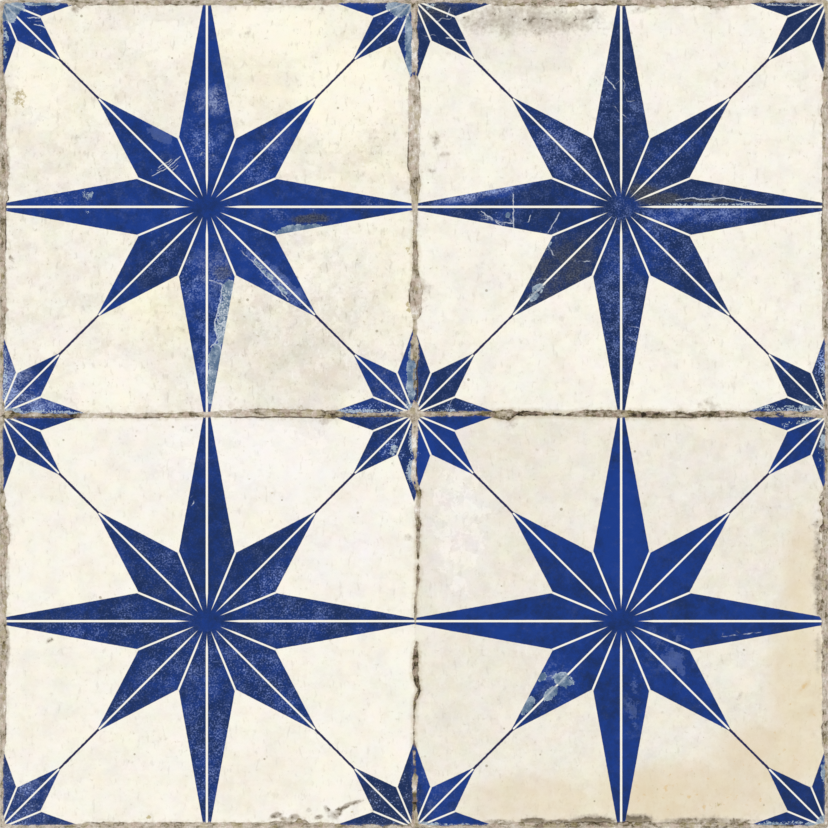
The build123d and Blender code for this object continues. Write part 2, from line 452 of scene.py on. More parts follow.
# a thin film that makes the blue look milky
wear["hazed"] = [
    (-138, 152, 20, 10, -35, 0.9), (-138, 95, 22, 5, 32, 0.6), (-74, 110, 9, 5, 0, 0.7),
    (-107, 24, 40, 7, 87, 0.5), (-71, 74, 32, 4, -45, 0.95), (-78, 75.5, 38, 5, -45, 0.95),
    (-62, 64, 16, 7, -45, 0.85), (-114, 145, 22, 20, 90, 0.4), (150, 109, 62, 8, 0, 0.6),
    (119, 171, 32, 8, 90, 0.35), (134, 96, 30, 8, -45, 0.45), (141, -135, 24, 14, -45, 0.8),
    (120, -154, 38, 9, 85, 0.65), (142, -123, 18, 7, 30, 0.6), (74, -140, 16, 10, 45, 0.6),
    (9, -199, 42, 14, 90, 0.5),
]
# grey brown soot trodden into the print
wear["sooted"] = [
    (126, 119, 22, 12, -20, 0.95), (137, 117, 20, 7, 0, 0.95), (163, 116, 48, 2.8, 0, 1),
    (79, 77, 56, 32, 45, 0.6), (-56, 106, 22, 6, 3, 0.95), (-104, 77, 12, 10, 0, 0.6),
    (222, -12, 24, 8, 90, 0.6), (8, 219, 30, 14, 0, 0.65), (-13, -210, 44, 40, 0, 0.3),
]
# thin white scratches
wear["scratched"] = [
    (-114, 144, 22, 18, 0, 0.4), (-75, 73, 52, 7, -45, 0.5), (-103, 54, 46, 9, 83, 0.8),
    (114, 172, 42, 18, 90, 0.45), (63, 108, 42, 12, 0, 0.3), (121, 48, 32, 9, 80, 0.6),
    (79, 81, 30, 20, 45, 0.25), (164, 117, 54, 6, 0, 0.5), (177, -119, 30, 5, 5, 0.45),
    (77, -145, 28, 18, 45, 0.4), (20, 6, 26, 8, 0, 0.7), (14, 211, 26, 22, 0, 0.5),
    (212, 219, 34, 8, 0, 0.25),
]
# where the blue is bright and not navy
wear["royal"] = [
    (112, -60, 90, 30, 90, 0.95), (118, 86, 50, 40, 0, 0.55), (37, 119, 60, 10, 12, 0.7),
    (155, 108, 70, 12, 0, 0.7), (78, 146, 46, 28, -45, 0.36), (6, -24, 40, 16, 90, 0.85),
    (10, -200, 60, 30, 90, 0.85),
]
# soft pale patches of every size, where feet have rubbed the blue thin
wear["scuffed"] = [
    (-112, 160, 40, 30, 90, 0.6), (-112, 55, 90, 30, 90, 0.6), (-83, 138, 40, 26, 45, 0.45),
    (-70, 68, 60, 16, -45, 0.6), (112, 170, 46, 24, 90, 0.2), (150, 108, 70, 14, 0, 0.6),
    (112, 60, 90, 30, 90, 0.4), (-6, 206, 44, 30, 90, 0.45), (140, -130, 50, 26, -45, 0.4),
    (120, -150, 60, 14, 85, 0.45), (74, -145, 40, 24, 45, 0.3),
]
# a grey veil, where the blue is rubbed almost through
wear["rubbed"] = [
    (-107, 170, 16, 11, 90, 0.8), (-117, 170, 16, 8, 90, 0.5), (-76, 149, 20, 14, 45, 0.3),
    (-109, 79, 22, 20, 90, 0.5), (-110, 14, 34, 7, 90, 0.5), (-76, 74, 44, 6, -45, 0.4),
    (36, 120.3, 54, 6, 12, 0.85), (77, 146, 36, 24, -45, 0.28), (160, 108, 50, 9, 0, 0.25),
    (-218, 15, 22, 40, 0, 0.8), (-207, 6, 34, 14, 0, 0.55), (-13, 13, 32, 30, 0, 0.24),
    (-212, -208, 36, 36, 0, 0.36), (12, -208, 32, 32, 0, 0.18),
]
# a deep navy, where the print is thickest
wear["navy"] = [
    (208, 210, 44, 40, 0, 0.9), (-13, -210, 46, 42, 0, 0.9), (209, -209, 44, 40, 0, 0.7),
    (214, 12, 34, 36, 0, 0.6), (14, 12, 36, 36, 0, 0.3), (14, 208, 32, 30, 0, 0.6),
    (-135, 85, 44, 24, 45, 0.7), (-16, 206, 36, 36, 0, 0.6), (112, 165, 80, 26, 90, 0.5),
]
# where the blue has stayed clean
wear["unworn"] = [
    (-112, -60, 90, 24, 90, 0.7), (207, 208, 44, 40, 0, 0.5), (14, 207, 32, 30, 0, 0.6),
    (214, 12, 34, 36, 0, 0.4), (82, 106, 46, 14, 0, 0.6), (-113.5, 114, 22, 20, 0, 0.9),
    (-112, -111, 20, 18, 0, 0.9), (112, -112, 20, 18, 0, 0.9),
]
print("ovals on the blue:", sum(len(ovals) for ovals in wear.values()))

# %% Draw single scratches
# from x and y to x and y in millimetres, strength from 0 to 1
scratches = [
    (54, 119, 54, 100, 0.9), (79, 109, 73, 99, 0.8), (37, 110, 48, 102, 0.8),
    (36.6, 106, 53.9, 103.5, 0.45), (63.5, 107.5, 62, 104.5, 0.6), (71, 95, 76, 86, 0.5),
    (67, 73, 77, 74, 0.4), (87, 83, 96, 83, 0.4), (104, 183, 109, 177, 0.9),
    (101, 177, 103, 182, 0.7), (142.6, 116.2, 150.4, 117.5, 1), (150.4, 117.5, 155.7, 116.4, 1),
    (155.7, 116.4, 168, 117.5, 1), (168, 117.5, 178.4, 115.5, 1), (178.4, 115.5, 190.6, 113.6, 0.9),
    (-142, 129.5, -135, 133, 0.8), (-135, 133, -127, 139.5, 0.8), (-138.5, 134, -132, 138, 0.6),
    (-131, 132.5, -128, 135, 0.5), (-95.3, 90, -87.5, 82.5, 0.4), (-87.5, 82.5, -80.5, 75, 0.8),
    (-80.5, 75, -75, 70, 0.9), (-75, 70, -68.5, 62, 0.7), (-111, 72.8, -104, 70.5, 0.6),
    (-104, 70.5, -104.8, 63.7, 1), (-104.8, 63.7, -108.2, 49, 1), (-108.2, 49, -107, 42, 0.9),
    (-105, 42, -110.3, 36.5, 0.8), (-209.5, 215.2, -202.7, 215.2, 0.8),
    (17.8, 204.3, 29.3, 202.5, 0.6), (7.4, 218, 14.3, 211.2, 0.6), (20, 220.4, 17.8, 215.8, 0.6),
    (192, 222.5, 216, 221.5, 0.6), (-206, 211.8, -200.3, 210, 0.8), (167, -121, 192, -118, 0.45),
    (-119, -46, -121, -50, 0.6),
]
scratch_reach = 3.0  # how far from a scratch its distance is kept


def scratch_values(points):
    """The signed distance to the nearest scratch, and how strong that scratch is there."""
    nearest = np.full(len(points), scratch_reach)
    gap = np.full(len(points), scratch_reach)
    strength = np.zeros(len(points))
    for x0, y0, x1, y1, weight in scratches:
        length = math.hypot(x1 - x0, y1 - y0)
        run = np.array((x1 - x0, y1 - y0)) / length
        aside = points - np.array((x0, y0))
        along = aside @ run
        off = aside @ np.array((-run[1], run[0]))
        beyond = np.maximum(np.maximum(-along, along - length), 0.0)
        reach = np.hypot(off, beyond)
        closer = reach < nearest
        nearest = np.where(closer, reach, nearest)
        gap = np.where(closer, off, gap)
        strength = np.where(closer, weight * smooth(1.2, 0.0, beyond), strength)
    return gap, strength * smooth(scratch_reach, 0.6 * scratch_reach, nearest)


face_values["scratch_gap"], face_values["scratch_strength"] = scratch_values(spots)
print("single scratches:", len(scratches))

# %% Lay the ovals of dirt on the cream
# grey and brown smudges
wear["smudged"] = [
    (62, 214, 92, 24, 0, 0.62), (65, 214, 16, 10, 0, 0.8), (95, 217, 12, 8, 30, 0.8),
    (84, 212, 14, 8, 0, 0.7), (28, 214, 9, 6, 30, 0.7), (124, 220, 16, 6, 20, 0.65),
    (165, 221, 12, 4, 0, 0.6), (12, 149, 7, 8, 0, 0.8), (16, 141, 6, 5, 0, 0.7),
    (10, 133, 6, 6, 0, 0.7), (98, 181, 5, 3, 0, 0.6), (-184, 220, 6, 4, 0, 0.7),
    (-216, 173, 14, 8, 80, 0.55), (-221, 136, 24, 4, 90, 0.7), (-91, 206, 5, 4, 90, 0.9),
    (-77, 191, 3, 3, 0, 0.8), (-184, 150, 5, 5, 0, 0.6), (-164, 215, 4, 3, 0, 0.8),
    (-50, 220, 3, 3, 0, 0.8), (-219, 85, 3, 3, 0, 1), (-23, 150, 8, 6, 90, 0.55),
    (-127, 46, 8, 4, -30, 0.55), (-84, 51, 7, 4, 0, 0.55), (-75, -218, 8, 4, 10, 1),
    (-70, -220, 9, 3, -15, 0.8), (-65, -219, 7, 4, 0, 0.95), (-61, -221, 7, 3, -30, 0.8),
    (-52, -219, 6, 3, 15, 0.95), (-57, -215, 4, 3, 0, 0.5), (-47, -215, 7, 4, -53, 0.8),
    (-44, -218, 8, 6, -21, 0.75), (-41, -216, 8, 5, 55, 0.85), (-37, -213, 10, 3.2, 30, 1.05),
    (-32, -211, 10, 2.6, 12, 0.95), (-21, -216, 7, 6, 0, 0.5), (-197, -123, 4, 4, 0, 1),
    (-136, -176, 5, 5, 0, 0.6), (-154, -188, 3, 3, 0, 0.9), (-221, -62, 14, 5, 90, 0.6),
    (-221, -90, 30, 4, 90, 0.6), (-221, -128, 28, 4, 90, 0.85), (178, -153, 6, 3, 90, 0.8),
    (135, -161, 3, 3, 0, 0.7), (143, -53, 4, 3, 90, 0.6), (173, -39, 3, 3, 0, 0.6),
    (46, -221.6, 22, 4, 0, 0.8), (65, -221.2, 18, 5, 0, 1.25), (80, -221.7, 20, 4, 0, 1.1),
    (97, -221, 30, 5.5, 0, 1.25), (121, -220.4, 19, 7, 0, 1.25), (160, -221.2, 62, 5, 0, 0.95),
    (218, -60, 8, 5, 90, 0.8), (219, -72, 20, 6, 90, 0.9), (219, -91, 24, 6.5, 90, 0.98),
    (219, -104, 14, 6, 90, 0.95), (219.5, -129, 26, 5, 90, 0.6), (-49, -4, 7, 6, 0, 0.6),
    (53, -4, 9, 7, 0, 0.6), (160, 5, 16, 9, 0, 0.45), (4, 67, 16, 12, 90, 0.55),
    (-3, -67, 6, 6, 0, 0.6),
]
# yellow and olive stains
wear["mossy"] = [
    (-215, 172, 12, 10, 80, 0.8), (-3, 89, 7, 4, 90, 0.7), (-3, 58, 7, 4, 90, 0.8),
    (-3, 173, 9, 4, 90, 0.6), (-144, -219, 4, 4, 0, 0.8), (-119, -214, 4, 3, 0, 0.6),
    (-34, -217, 5, 4, 0, 0.8), (154, -196, 5, 4, 0, 0.6), (173, -196, 5, 4, 0, 0.5),
    (163, -213, 8, 6, 90, 0.6), (131, -204, 6, 5, 0, 0.5), (-82, -181, 3, 3, 0, 0.7),
]
# the ground where it is cooler and darker
wear["greyed"] = [
    (-62, 35, 100, 80, 0, 0.66), (-126, 42, 60, 66, 0, 0.5), (-26, 136, 50, 36, 90, 0.34),
    (-207, 128, 60, 36, 90, 0.3), (60, 204, 100, 44, 0, 0.5),
]
# the ground where a clean bright layer is left
wear["bright"] = [
    (-38, 172, 66, 64, 0, 0.8), (-78, 207, 84, 34, 0, 0.7), (-203, 182, 36, 70, 0, 0.65),
    (-165, 16, 50, 34, 0, 0.8), (-136, 203, 50, 26, 0, 0.7), (-90, -22, 120, 50, 0, 0.5),
    (24, -58, 36, 90, 0, 0.55),
]
# the ground where it is yellower
wear["yellow"] = [
    (-60, 188, 130, 70, 0, 0.6), (-30, 140, 60, 60, 0, 0.5), (-190, 185, 60, 80, 0, 0.35),
    (-130, 62, 70, 54, 0, 0.8), (-10, 75, 26, 70, 0, 0.5), (214, -150, 40, 140, 0, 0.5),
    (100, -208, 90, 30, 0, 0.4),
]
# the ground where it is whiter
wear["white"] = [
    (-95, -22, 130, 56, 0, 0.55), (-40, -70, 60, 60, 0, 0.45), (22, -58, 42, 100, 0, 0.45),
    (150, -40, 110, 50, 0, 0.2),
]
# the ground where it is stained ochre
wear["warmed"] = [
    (211, -88, 84, 28, 90, 0.65), (210, -146, 96, 48, 90, 0.68), (212, -148, 9, 4, 45, 1.15),
    (216, -163, 7, 4, 0, 1.05), (192, -186, 80, 44, 0, 0.74), (150, -207, 130, 44, 0, 0.76),
    (64, -210, 90, 34, 0, 0.62), (-90, -200, 120, 40, 0, 0.25),
]
# how blotchy the ground is
wear["mottled"] = [
    (-60, 60, 130, 120, 0, 1.9), (-26, 152, 50, 64, 0, 2),
]
# how far each whole panel is from the others: top left, top right, foot left, foot right
panel_tone = {
    "royal": (0.62, 0.24, 0.38, 0.58),
    "greyed": (0.28, 0.20, 0.12, 0.50),
    "warmed": (0.20, 0.10, 0.14, 0.20),
    "frosted": (0.06, 0.22, 0.22, 0.00),
    "flecked": (0.26, 0.33, 0.31, 0.00),
    "scuffed": (0.14, 0.14, 0.08, 0.06),
    "mottled": (1.40, 1.00, 0.90, 0.90),
}


def oval_cover(points, oval):
    """How strongly one soft oval covers each point."""
    x, y, length, width, turn, strength = oval
    angle = math.radians(turn)
    aside = points - np.array((x, y))
    along = aside @ np.array((math.cos(angle), math.sin(angle)))
    athwart = aside @ np.array((-math.sin(angle), math.cos(angle)))
    reach = np.hypot(along / (length / 2), athwart / (width / 2))
    return strength * smooth(1.35, 0.45, reach)


panel_number = 2 * (up < 0) + (across > 0)
for name, ovals in wear.items():
    cover = np.max([oval_cover(spots, oval) for oval in ovals], axis=0)
    if name in panel_tone:
        cover = np.maximum(cover, np.array(panel_tone[name])[panel_number])
    face_values[name] = cover
unworn = face_values.pop("unworn")
for name in ("frosted", "flecked", "scuffed"):
    face_values[name] = face_values[name] * (1.0 - unworn)
face_values["royal"] = face_values["royal"] - 0.5 * face_values.pop("navy")
face_values["yellow"] = face_values["yellow"] - face_values.pop("white")
print("kinds of wear:", ", ".join(wear))

# %% [markdown]
# ## A map for the textures
#
# Whoever reuses the tile may want its colours as an image, and the pattern needs most of the room.
# So the face takes four fifths of the map each way, the four sides are thin strips beside it, and
# the back, which nobody sees, is small.

# %% Unwrap the tile
face_share = 0.80  # of the map's width, for the patterned face
back_share = 0.17
strip_share = 0.03
map_gap = 0.01
beside_face = face_share + map_gap
bake_map = bm.loops.layers.uv.new("OFBake")
side_faces = set(sides)


def map_place(face, co):
    """Where a point of a face lies on the map."""
    x = co.x / METRES / (2 * half_side) + 0.5
    y = co.y / METRES / (2 * half_side) + 0.5
    z = co.z / METRES / face_height
    if face in back:
        return beside_face + back_share * x, beside_face + back_share * y
    if face not in side_faces:
        return face_share * x, face_share * y
    along_x = abs(face.normal.x) > abs(face.normal.y)
    outward = face.normal.x if along_x else face.normal.y
    strip = beside_face + (strip_share + map_gap) * (outward > 0) + strip_share * z
    return (strip, face_share * y) if along_x else (face_share * x, strip)


for f in bm.faces:
    f.smooth = True
    f.material_index = 1 if f in back or f in side_faces else 0
    for loop in f.loops:
        loop[bake_map].uv = map_place(f, loop.vert.co)
for e in bm.edges:
    materials = {f.material_index for f in e.link_faces}
    e.smooth = len(materials) == 1 and not any(f in back for f in e.link_faces)

print("the face takes", face_share, "of the map each way")

# %% Write the mesh and its attributes
bm.verts.index_update()
face_numbers = [v.index for v in face_verts]
tile_mesh = bpy.data.meshes.new("worn_tile")
bm.to_mesh(tile_mesh)
bm.free()
for name, values in face_values.items():
    whole = np.zeros(len(tile_mesh.vertices), np.float32)
    whole[face_numbers] = values
    layer = tile_mesh.attributes.new(name, "FLOAT", "POINT")
    layer.data.foreach_set("value", whole)
triangles = sum(len(p.vertices) - 2 for p in tile_mesh.polygons)
print("tile:", len(tile_mesh.vertices), "points,", triangles, "triangles")

# %% [markdown]
# ## Shader maths as plain expressions
#
# The stars are drawn by arithmetic: fold the tile into one eighth of a star, then ask how far a
# point is from an edge. In the node editor that is hundreds of small nodes. A class that wraps
# one socket and answers to Python's operators lets the same thing be written as a formula.


# %% A socket that answers to operators
class Term:
    """One output socket. Operators on it add Math nodes to its material."""

    def __init__(self, tree, socket):
        self.tree = tree
        self.socket = socket

    def node(self, kind, settings=None, sockets=None, output=0):
        """Adds a node: its settings first, then its sockets' values or links."""
        made = self.tree.nodes.new(kind)
        for name, value in (settings or {}).items():
            setattr(made, name, value)
        for name, value in (sockets or {}).items():
            if isinstance(value, Term):
                self.tree.links.new(value.socket, made.inputs[name])
            else:
                made.inputs[name].default_value = value
        return Term(self.tree, made.outputs[output])

    def math(self, operation, *values):
        return self.node("ShaderNodeMath", {"operation": operation}, dict(enumerate(values)))

    def vector(self, operation, *values):
        return self.node("ShaderNodeVectorMath", {"operation": operation}, dict(enumerate(values)))

    def __add__(self, other):
        return self.math("ADD", self, other)

    def __radd__(self, other):
        return self.math("ADD", other, self)

    def __sub__(self, other):
        return self.math("SUBTRACT", self, other)

    def __rsub__(self, other):
        return self.math("SUBTRACT", other, self)

    def __mul__(self, other):
        return self.math("MULTIPLY", self, other)

    def __rmul__(self, other):
        return self.math("MULTIPLY", other, self)

    def __truediv__(self, other):
        return self.math("DIVIDE", self, other)

    def __abs__(self):
        return self.math("ABSOLUTE", self)

    def least(self, other):
        return self.math("MINIMUM", self, other)

    def most(self, other):
        return self.math("MAXIMUM", self, other)

    def ramp(self, low, high):
        """Rises from 0 at low to 1 at high, with soft ends. Low may be above high."""
        settings = {"interpolation_type": "SMOOTHSTEP"}
        ends = {"From Min": min(low, high), "From Max": max(low, high)}
        values = {"To Min": float(low > high), "To Max": float(low < high)}
        return self.node("ShaderNodeMapRange", settings, {"Value": self, **ends, **values})

    def between(self, low, high):
        """The same soft rise, where the two ends vary over the surface."""
        settings = {"interpolation_type": "SMOOTHSTEP"}
        ends = {"From Min": low, "From Max": high}
        return self.node("ShaderNodeMapRange", settings, {"Value": self, **ends})

    def mix(self, first, second):
        """The first colour where this value is 0 and the second where it is 1."""
        return self.node("ShaderNodeMix", {"data_type": "RGBA"}, {0: self, 6: first, 7: second}, 2)

    def over(self, under, red, green, blue):
        """Lays a paint colour over another colour, as thick as this value says."""
        return self.mix(under, paint_colour(red, green, blue))

    def noise(self, size, detail=2.0, grain=0.5):
        """Noise from 0 to 1 on a vector in millimetres, with lumps of the given size."""
        sockets = {"Vector": self, "Scale": 1.0 / size, "Detail": detail, "Roughness": grain}
        return self.node("ShaderNodeTexNoise", None, sockets)


def paint_colour(red, green, blue):
    """A colour as a paint card gives it, from 0 to 255, as the shader's linear light."""
    parts = [c / 255 for c in (red, green, blue)]
    linear = [c / 12.92 if c <= 0.04045 else ((c + 0.055) / 1.055) ** 2.4 for c in parts]
    return (*linear, 1.0)


def new_material(name):
    """An empty node material: its tree, its Principled shader, and a vector in millimetres."""
    material = bpy.data.materials.new(name)
    material.use_nodes = True
    tree = material.node_tree
    shader = tree.nodes["Principled BSDF"]
    coordinates = Term(tree, tree.nodes.new("ShaderNodeTexCoord").outputs["Object"])
    scale = {0: coordinates, "Scale": 1.0 / METRES}
    place = coordinates.node("ShaderNodeVectorMath", {"operation": "SCALE"}, scale)
    return material, tree, shader, place


print("a mid grey in linear light:", [round(c, 3) for c in paint_colour(128, 128, 128)])

# %% [markdown]
# ## The stars
#
# Four panels mirror each other, each star has eight points, and each point has two halves. Taking
# absolute values folds all of that onto one wedge, and the larger and smaller of the two distances
# fold it once more. What is left of a star is two straight flanks, so a star is two lines.

# %% Measures of the print, in millimetres
EIGHTH = math.radians(22.5)
long_point = (121.9, 0.1811)  # where the flanks would meet, and their slope, on the upright points
short_point = (85.4, 0.3157)  # the same for the slanting points
small_point = (47.6, 0.355)  # the small stars have eight equal points
white_axis = 0.58  # half widths of the white lines
white_slant = 0.47
white_valley = 0.50
white_small = 0.45
white_start = (5.0, 15.0)  # from the middle of a star, where the white lines begin and are full
link_half_width = 0.64
link_span = (83.0, 113.6)
print("flank angle of the long points:", round(math.degrees(math.atan(long_point[1])), 1), "degrees")

# %% Helpers that fold a star
glazed_face, tree, shader, place = new_material("glazed_face")
axes = place.node("ShaderNodeSeparateXYZ", None, {0: place}).socket.node
x = Term(tree, axes.outputs["X"])
y = Term(tree, axes.outputs["Y"])


def attribute(name):
    """A value that the mesh holds on its points."""
    return place.node("ShaderNodeAttribute", {"attribute_name": name}, None, 2)


def star_wedge(first, second):
    """Folds two distances onto one wedge: along and off the upright point, then the slanting one."""
    along = first.most(second)
    off = first.least(second)
    slant_along = (along + off) * math.sqrt(0.5)
    slant_off = (along - off) * math.sqrt(0.5)
    return along, off, slant_along, slant_off


def flank(point, along, off):
    """How far inside a point's flank a place is."""
    tip, slope = point
    return ((tip - along) * slope - off) * math.cos(math.atan(slope))


def valley(along, off):
    """How far a place is from the line between two points of a star."""
    return abs(off * math.cos(EIGHTH) - along * math.sin(EIGHTH))


print("a wedge of a star is", math.degrees(2 * EIGHTH), "degrees wide")

# %% Draw the stars
wobble = (place.noise(7.0, 2.0) - 0.5) * 0.4 + (place.noise(1.3, 1.0) - 0.5) * 0.5
a = abs(abs(x) - star_centre)
b = abs(abs(y) - star_centre)
along, off, slant_along, slant_off = star_wedge(a, b)
star = flank(long_point, along, off).most(flank(short_point, slant_along, slant_off))
square = a * a + b * b
radius = square.math("SQRT", square)
reach = radius - 2.5 * a * a / square  # the lines begin farther out to the sides
opening = ((reach - white_start[0]) / (white_start[1] - white_start[0])).least(1.0)
axis_opening = opening * 1.33 - 0.33  # the lines along the long points open later
white = (off - axis_opening * white_axis).least(slant_off - opening * white_slant)
white = white.least(valley(along, off) - opening * white_valley)
white_fade = reach.ramp(white_start[0] - 0.2, white_start[0] + 2.3)

small = star_wedge(star_centre - a, star_centre - b)
small_star = flank(small_point, small[0], small[1]).most(flank(small_point, small[2], small[3]))
small_white = (small[3] - white_small).least(valley(small[0], small[1]) - white_small)
in_small = small_star.ramp(-2.0, -1.9)
link = (link_half_width - slant_off).least(slant_along - link_span[0]).least(link_span[1] - slant_along)

blotch = place.noise(5.0, 5.0, 0.62)
scuff = (place.noise(9.0, 6.0, 0.9) - 0.5) * 20.0  # about -2 to 2, and as rough near as far
chipped = attribute("chipped")
facets = place.node("ShaderNodeTexVoronoi", None, {"Vector": place, "Scale": 1.0 / 3.0}, "Color")
chances = facets.node("ShaderNodeSeparateColor", None, {0: facets}).socket.node
facet = Term(tree, chances.outputs["Red"]) - 0.5  # flat bits with corners
plate = Term(tree, chances.outputs["Green"]) - 0.5
stain = Term(tree, chances.outputs["Blue"]) - 0.5
flaked = scuff * 0.28 + (blotch - 0.5) * 2.0 + facet * 1.0
chip_level = chipped * 3.8 - 2.2 + flaked
chip = chip_level.ramp(0.0, 0.25)
blue_area = (star.most(small_star) + wobble * 0.4).ramp(-0.15, 0.15)
white_area = (white + (small_white - white) * in_small + wobble * 0.15).ramp(0.15, -0.15)
white_area = white_area * (white_fade + in_small).least(1.0)
link_area = (link + wobble * 0.8).ramp(-0.15, 0.15)
print("stars drawn with", len(tree.nodes), "nodes so far")

# %% [markdown]
# ## The cream ground
#
# The ground is a warm white slip under a thin glaze, and each panel has fired and aged a little
# differently. A picture would be the quick way to colour it. Here it is laid in coats, as on the
# real tile: a base between two creams, tints, marks, warm stains, and smudges on top. Noise of
# several sizes breaks up every coat, so that no stain keeps the outline of its oval.

# %% Colour the ground
cloud = (place.noise(22.0, 5.0, 0.9) - 0.5) * 17.0
lump = place.noise(2.6, 3.0, 0.6)
flake = place.noise(8.0, 5.0, 0.7)
patch = place.noise(24.0, 4.0, 0.7)
flakes = lump.ramp(0.52, 0.58) * 0.08 + flake.ramp(0.50, 0.54) * 0.14 + patch.ramp(0.50, 0.53) * 0.1
layer = (attribute("bright") * 1.5 - 0.7 + (flake - 0.5) * 3.0 + facet * 0.3).ramp(-0.1, 0.2)
mottled = attribute("mottled")
shade = attribute("greyed") + (cloud * 0.05 + flakes - 0.16) * mottled - layer * 0.5
ground = shade.ramp(-0.4, 1.4).mix(paint_colour(254, 250, 238), paint_colour(222, 216, 202))
tinting = {"Vector": place, "Scale": 1.0 / 13.0, "Detail": 2.0, "Roughness": 0.7}
tints = place.node("ShaderNodeTexNoise", None, tinting, "Color")
tints = tints.vector("SUBTRACT", tints, (0.5, 0.5, 0.5))
ground = tints.vector("MULTIPLY_ADD", tints, (0.10, 0.09, 0.17), ground)
ground = tints.vector("MULTIPLY_ADD", attribute("yellow"), (0.02, 0.015, -0.07), ground)
dash = place.vector("MULTIPLY", place, (1.0, 0.4, 1.0)).noise(2.4, 3.0, 0.6)  # short upright marks
ground = (dash.ramp(0.58, 0.70) * mottled * 0.15).over(ground, 150, 142, 122)
ground = (dash.ramp(0.40, 0.30) * mottled * 0.3).over(ground, 255, 252, 244)
ground = (lump.ramp(0.66, 0.70) * mottled * 0.22).over(ground, 170, 158, 128)
warmed = attribute("warmed")
warmth = warmed * (0.75 + patch * 0.3) + (flake - 0.5) * 0.4
ground = warmth.ramp(0.0, 1.2).over(ground, 224, 204, 168)
rust = (warmed + (lump - 0.5) * 1.5 + (blotch - 0.5) * 1.5).ramp(0.95, 1.2)
ground = (rust * 0.5).over(ground, 222, 186, 120)
mossy = (attribute("mossy") + (lump - 0.5) * 2.4).ramp(0.5, 0.9)
ground = (mossy * 0.7).over(ground, 176, 158, 88)
smudged = attribute("smudged")
smudge = (smudged + (lump - 0.5) * 0.9 + (flake - 0.5) * 1.0).ramp(0.2, 1.05)
ground = (smudge * 0.8).over(ground, 172, 160, 144)
crease = abs(place.noise(12.0, 1.5, 0.5) - 0.5)  # near 0 along thin winding lines
smudge_core = smudged + (lump - 0.5) * 1.4 + (blotch - 0.5) * 1.2 + crease.ramp(0.025, 0.0) * 0.2
smudge_core = smudge_core.ramp(0.8, 1.15)
ground = (smudge_core * 0.8).over(ground, 98, 88, 68)
cells = place.node("ShaderNodeTexVoronoi", None, {"Vector": place, "Scale": 1.0 / 10.0}).socket.node
cell_chance = Term(tree, cells.outputs["Color"])
cell_size = cell_chance.node("ShaderNodeSeparateColor", None, {0: cell_chance})
fleck = (cell_size * 0.17 - 0.08 - Term(tree, cells.outputs["Distance"])).ramp(-0.02, 0.03)
ground = (fleck * 0.6).over(ground, 132, 118, 84)
print("with the ground:", len(tree.nodes), "nodes")

# %% [markdown]
# ## The blue print
#
# The blue was printed in one colour, and feet have made many of it: milky films, frost, flecks,
# soot, chips down to a grey blue, and scratches. Each is a mask that lays a colour over what is
# there already, in the order in which wear happens, so that a scratch crosses a chip.

# %% Colour the blue
grain = (place.noise(0.9, 1.0, 0.5) - 0.5) * 10.0  # about -2 to 2 as well
tone = attribute("royal") + cloud * 0.14
blue = tone.ramp(0.0, 1.0).mix(paint_colour(25, 46, 90), paint_colour(24, 59, 138))
hazed = (attribute("hazed") * 2.8 - 1.6 + flaked).ramp(0.0, 0.25)
blue = (hazed * 0.26).over(blue, 112, 132, 184)
scuffed = attribute("scuffed") * (scuff + (blotch - 0.5) * 4.0).ramp(-0.2, 2.6)
blue = (scuffed * 0.65).over(blue, 104, 128, 190)
frost = attribute("frosted") * (grain * 0.8 + scuff * 0.5).ramp(-0.4, 2.8)
blue = (frost * 0.75).over(blue, 132, 153, 218)
veil = (attribute("rubbed") * (0.6 + scuff * 0.22 + grain * 0.2)).ramp(0.0, 1.0)
blue = veil.over(blue, 142, 155, 194)
fleck_level = 3.4 - attribute("flecked") * 3.0
flecks = (grain * 0.8 + scuff * 0.6).between(fleck_level, fleck_level + 1.0)
blue = (flecks * 0.7).over(blue, 153, 176, 232)
sooted = (attribute("sooted") + scuff * 0.12).ramp(0.1, 1.0)
soot = grain.ramp(-2.0, 2.5).mix(paint_colour(44, 48, 56), paint_colour(92, 96, 100))
blue = (sooted * 0.8).mix(blue, soot)
bare = (blotch + scuff * 0.07).ramp(0.34, 0.80)
bare = bare.mix(paint_colour(86, 112, 140), paint_colour(172, 188, 200))
bare = (flecks * 0.6).over(bare, 222, 228, 228)
blue = (chip * 0.9).mix(blue, bare)
rim = abs(chip_level - 0.25).ramp(0.35, 0.05) * scuff.ramp(-1.0, 1.0)
lip_wear_and_highlight = attribute("lip_wear_and_highlight")
# pale crusty lips: partly worn glaze, partly a painted highlight on the joint's edge; the chips' pale
# rims share their colour
lip_and_highlight = (lip_wear_and_highlight * 3.0 - 1.7 + grain * 0.6 + scuff * 0.5).ramp(0.0, 0.6) * lip_wear_and_highlight.ramp(0.05, 0.3)
blue = (lip_and_highlight.most(rim) * 0.7).over(blue, 192, 208, 220)
scratch = crease.ramp(0.011, 0.003) * (attribute("scratched") + (blotch - 0.5)).ramp(0.3, 0.7)
scratch_line = abs(attribute("scratch_gap") + (lump - 0.5) * 2.0).ramp(0.4, 0.1)
scratch_line = scratch_line * (attribute("scratch_strength") + (blotch - 0.5) * 1.5).ramp(0.3, 0.7)
scratch = scratch.most(scratch_line)
blue = (scratch * 0.8).over(blue, 206, 214, 226)

line_white = white_fade.most(in_small).mix(paint_colour(120, 146, 170), paint_colour(250, 247, 234))
line_white = (chip * 0.8).mix(line_white, bare)
surface = blue_area.mix(ground, blue)
surface = (blue_area * white_area).mix(surface, line_white)
surface = link_area.over(surface, 36, 38, 84)
print("with the blue:", len(tree.nodes), "nodes")
